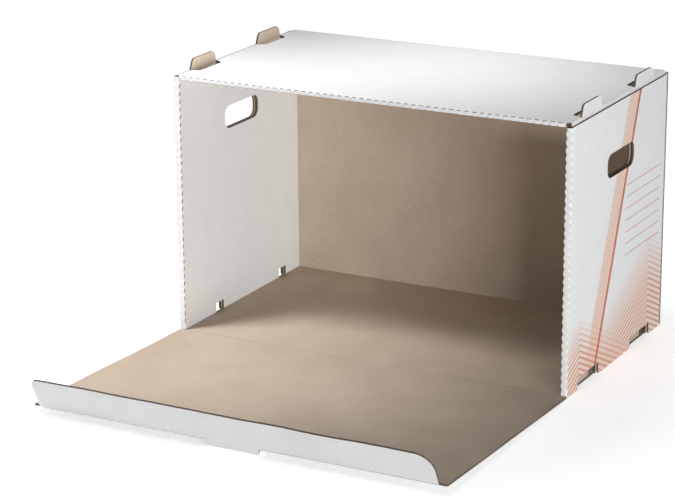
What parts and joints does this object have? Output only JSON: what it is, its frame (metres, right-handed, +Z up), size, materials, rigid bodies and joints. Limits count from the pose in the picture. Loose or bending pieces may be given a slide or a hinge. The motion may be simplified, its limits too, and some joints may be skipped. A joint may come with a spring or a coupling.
{
  "type": "archive storage box",
  "caption": "Front-opening archive container of folded corrugated board with double side walls, hand holes, stacking tabs and a hinged front panel with a tuck flap.",
  "frame": {"origin": "middle of the underside of the box, on the surface that it stands on", "axes": "+X to the right as seen from the open front, +Y to the back, +Z up; the open front panel lies towards -Y"},
  "size_m": [0.5412, 0.6535, 0.352],
  "materials": {
    "white_board": "matte white coated liner",
    "printed_board": "matte white coated liner with thin orange-red print",
    "kraft_board": "uncoated brown kraft liner"
  },
  "bodies": {
    "box": {"sleeve": "white_board", "side_wall_right": "printed_board", "side_wall_left": "printed_board"},
    "front_panel": {"front_panel": "kraft_board"},
    "tuck_flap": {"tuck_flap": "white_board"}
  },
  "joints": [
    {"name": "front_panel_hinge", "type": "hinge", "parent": "box", "child": "front_panel", "pos_m": [0, -0.1533, 0.0025], "axis": [-1, 0, 0], "range_deg": [0, 88.5]},
    {"name": "tuck_flap_crease", "type": "hinge", "parent": "front_panel", "child": "tuck_flap", "pos_m": [0, -0.4801, 0.01057], "axis": [-1, 0, 0], "range_deg": [0, 33.5]}
  ],
  "couplings": [
    {"joint": "tuck_flap_crease", "follows": "front_panel_hinge", "ratio": 0.375}
  ]
}
